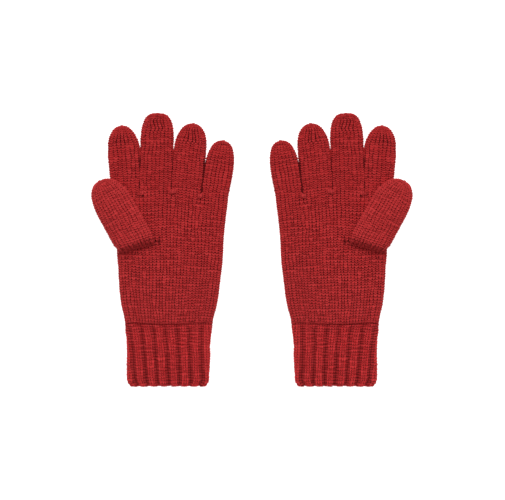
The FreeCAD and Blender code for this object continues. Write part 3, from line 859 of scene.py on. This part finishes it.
def finger_root(name, wales):
    """Paints shade on the fabric deep between two fingers and along the edges where they meet, and
    tucks the first course into the hand.
    """
    inner_left, inner_right = has_neighbours(list(FINGERS).index(name))
    hidden, edges = [], []
    if inner_right:
        hidden.append(FINGER_WALES + 1.0)
        edges.append(FINGER_WALES)
    if inner_left:
        hidden.append(wales - 1.0)
        edges.extend([0, wales])

    def shade(rows, columns):
        # painted shade deep in the crotch and in thin lines along the fingers' meeting edges, fading
        # out up the finger
        dark = 0.5 * sum(smoothstep(1.2 - np.abs(columns - middle) / 1.4) for middle in hidden)
        dark = dark + 0.4 * sum(smoothstep(1 - np.abs(columns - edge) / 0.35) for edge in edges)
        dark = np.clip(dark, 0, 0.65) * (1 - smoothstep((rows - 15) / 5))
        return -0.9 * smoothstep(3 - rows), dark
    return shade


def whorl(tip, across, upward):
    """The yarn drawn up in a tip: a spiral that closes in on it."""
    turns = np.linspace(0, 11, 40)
    return [tip + (1 - t / 14) * (across * math.cos(t) + upward * math.sin(t)) for t in turns]


def make_fingers(side):
    """Each finger's knit, and the yarn drawn up in its tip."""
    for seed, (name, grid) in enumerate(fingers.items(), start=20):
        last_row = len(grid) - 1
        piece = knit(f"{side}_{name}_knit", side, grid, (2, last_row), (0, grid.shape[1]), seed,
                     shades=(1.4, 2.0), ridge=finger_root(name, grid.shape[1]),
                     drawn=tip_gather(name, last_row), closed_tip=True)
        finish(piece, palm_wool, None, f"{side}_{name}_finger")
        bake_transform(piece)
        tip = grid[-1].mean(0)
        path = whorl(tip + [0, 0.1, 0], np.array([1.1, 0, 0]), np.array([0, 0, 1.1]))
        closing = rope(f"{side}_{name}_tip_yarn", side, [path], 0.5, 30 + seed)
        finish(closing, palm_wool, f"{side}_{name}_part", f"{side}_{name}_tip_stitch")


def make_crotch_knots(side):
    """The three strands that close the fabric between two fingers."""
    for seed, (name, ((x, y), width)) in enumerate(KNOTS.items(), start=60):
        strands = []
        for lift in (-1.2, 0.0, 1.2):
            t = np.linspace(-1, 1, 9)
            level = EDGE_LEVEL + PALM_RISE + PALM_CROWN + 1.2 - 1.9 * t ** 4 - 0.25 * abs(lift)
            strands.append(np.stack([x + t * width / 2, y + lift + 0.5 * t, level], 1))
        piece = rope(f"{side}_{name}_crotch_yarn", side, strands, 0.9, seed)
        finish(piece, thumb_wool, f"{side}_glove", f"{side}_{name}_crotch_stitch")


def thumb_pleats(rows, columns):
    """The small pleats where the thumb folds over its base, longer towards the palm, with painted shade
    in their furrows.
    """
    pleat = 0.5 + 0.5 * np.cos(2 * math.pi * columns * 0.75)
    length = 3.0 + 0.9 * np.clip(columns / THUMB_WALES, 0, 1)
    fade = 1 - smoothstep((rows - length) / 0.9)
    return -0.5 * pleat ** 2 * fade, 0.42 * pleat ** 3 * fade


def make_thumb(side):
    """The thumb's knit, the chain of stitches at its base and the yarn drawn up in its tip."""
    piece = knit(f"{side}_thumb_knit", side, thumb, (1, len(thumb) - 1), (0, thumb.shape[1]), 31,
                 gaps=(0.7, 0.6), ridge=thumb_pleats, closed_tip=True)
    finish(piece, thumb_wool, None, f"{side}_thumb")
    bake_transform(piece)
    line = on_line(THUMB_ROOT, 60)
    line = line + np.array([0.12, -0.5])
    level = palm_level(line[:, 0], line[:, 1]) + 0.3
    # the yarn at the thumb's base gets a little painted shade
    seam = rope(f"{side}_thumb_base_yarn", side, [np.column_stack([line, level])], 0.8, 32, gap_shade=0.1)
    finish(seam, palm_wool, f"{side}_glove", f"{side}_thumb_base_seam")
    tip = thumb[-1].mean(0)
    lean = np.array([-math.sin(THUMB_LEAN), math.cos(THUMB_LEAN), 0])
    path = whorl(tip + lean * 0.1, np.array([0.9, 0.5, 0]), np.array([0, 0, 1.0]))
    closing = rope(f"{side}_thumb_tip_yarn", side, [path], 0.5, 33)
    finish(closing, thumb_wool, f"{side}_thumb_part", f"{side}_thumb_tip_stitch")


def is_purl_wale(wale):
    """Whether a wale of the cuff is a purl one: the first two of each rib."""
    return wale % RIB_WALES < 2


def cuff_ridge(rows, columns):
    """The ribs' relief on the cuff's outside, with painted shade between them and painted shadow under
    the hem.
    """
    outside = smoothstep((rows - CUFF_LINING - 0.5) / 2)
    course = rows - CUFF_LINING - 3
    fade = 1 - 0.85 * smoothstep((course - 20.0) / 4)
    height = rib_height(columns)
    # painted shade in the furrows between the ribs, a little lighter higher up
    rib_furrow_shade = 0.5 - 0.008 * course
    dark = rib_furrow_shade * (1 - height) * fade * outside
    # painted shade that grows towards the hem, and painted shadow right under it
    dark = dark + 0.14 * smoothstep((course - 18.5) / 3)
    hem_shadow = 0.85 * smoothstep((course - 23.45) / 0.4)
    return (height * fade * RIB_HEIGHT - 0.8) * outside, np.maximum(dark, hem_shadow)


def make_cuff(side):
    """The cuff, knitted as its palm side and its back."""
    wales = cuff.shape[1]
    parts = {"palm": (0, wales // 2, f"{side}_rib_cuff"), "back": (wales // 2, wales, None)}
    for seed, (part, (first, last, node)) in enumerate(parts.items(), start=41):
        piece = knit(f"{side}_cuff_{part}_knit", side, cuff, (1, len(cuff) - 2), (first, last), seed,
                     gaps=(1.2, 1.15), speckle=1.1, purl=is_purl_wale, ridge=cuff_ridge)
        finish(piece, rib_wool, None, node)
        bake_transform(piece)


for side in SIDES:
    make_hand(side)
    make_fingers(side)
    make_crotch_knots(side)
    make_thumb(side)
    make_cuff(side)


# ---- floor, light and camera ----------------------------------------------------------------
IMAGE_WIDTH = 505
MM_PER_PIXEL = 0.9124
PALM_LEVEL = 0.010          # metres above the table


def make_stage():
    """A white floor that lights itself, so that it shows no shadow."""
    mesh = bpy.data.meshes.new("floor")
    mesh.from_pydata([(-3, -3, 0), (3, -3, 0), (3, 3, 0), (-3, 3, 0)], [], [(0, 1, 2, 3)])
    floor = bpy.data.objects.new("floor", mesh)
    bpy.context.scene.collection.objects.link(floor)
    material = bpy.data.materials.new("white_floor")
    material.use_nodes = True
    shader = material.node_tree.nodes["Principled BSDF"]
    shader.inputs["Base Color"].default_value = (0.5, 0.5, 0.5, 1)
    shader.inputs["Roughness"].default_value = 0.9
    shader.inputs["Specular IOR Level"].default_value = 0.0
    shader.inputs["Emission Color"].default_value = (1, 1, 1, 1)
    shader.inputs["Emission Strength"].default_value = 1.0
    mesh.materials.append(material)


def add_light(name, place, size, power):
    """A round soft light that points at the gloves."""
    data = bpy.data.lights.new(name, "AREA")
    data.shape = "DISK"
    data.size = size
    data.energy = power
    light = bpy.data.objects.new(name, data)
    bpy.context.scene.collection.objects.link(light)
    light.location = place
    towards_origin = -Vector(place)
    light.rotation_euler = towards_origin.to_track_quat("-Z", "Y").to_euler()


def make_camera():
    """Straight above the pair, far enough to show the image's width of it at palm height."""
    data = bpy.data.cameras.new("camera")
    camera = bpy.data.objects.new("camera", data)
    bpy.context.scene.collection.objects.link(camera)
    data.lens = 120
    data.sensor_width = 36
    view_width = IMAGE_WIDTH * MM_PER_PIXEL * MM
    height = PALM_LEVEL + view_width * data.lens / data.sensor_width
    camera.location = (0.0005, 0.0, height)
    bpy.context.scene.camera = camera


def make_world():
    """Even white light from all around."""
    world = bpy.data.worlds.new("studio")
    bpy.context.scene.world = world
    world.use_nodes = True
    background = world.node_tree.nodes["Background"]
    background.inputs["Color"].default_value = (1, 1, 1, 1)
    background.inputs["Strength"].default_value = 0.35


make_stage()
add_light("key", (0.0, 1.3, 1.42), 1.0, 22.6)
add_light("fill", (0.0, -0.6, 1.7), 1.6, 3)
make_world()
make_camera()
bpy.context.scene.view_settings.view_transform = "Standard"
